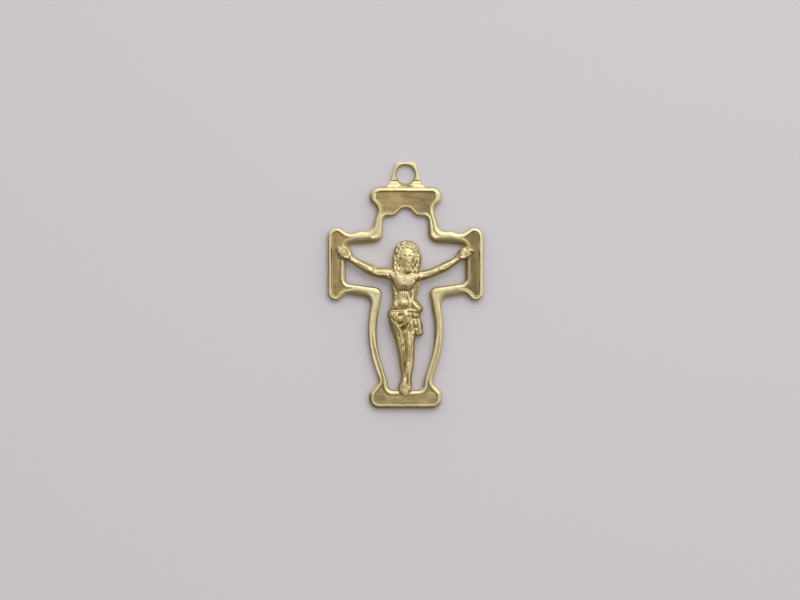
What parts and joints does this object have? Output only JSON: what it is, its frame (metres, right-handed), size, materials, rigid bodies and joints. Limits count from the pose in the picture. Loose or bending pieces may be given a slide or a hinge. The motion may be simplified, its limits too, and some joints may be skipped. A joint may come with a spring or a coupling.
{
  "type": "crucifix pendant",
  "caption": "Small brass openwork crucifix pendant: a pierced plate with half-round rims, a hanging tab with a hole, and a riveted figure in relief.",
  "frame": {"origin": "on the back plane, under the middle of the pendant's overall width and height", "axes": "+X across the arms towards the figure's left hand, +Y up to the hanging tab, +Z out of the front face"},
  "size_m": [0.0284, 0.045, 0.0029],
  "materials": {
    "plate": "brushed, lightly darkened",
    "rim": "polished",
    "tab": "satin polished",
    "figure": "satin polished, dark in the hollows",
    "nail": "satin polished"
  },
  "bodies": {
    "root": {"cross_plate": "plate", "outer_rim": "rim", "inner_rim": "rim", "hanging_tab": "tab", "corpus": "figure", "nail_right_hand": "nail", "nail_left_hand": "nail", "nail_feet": "nail"}
  },
  "joints": []
}
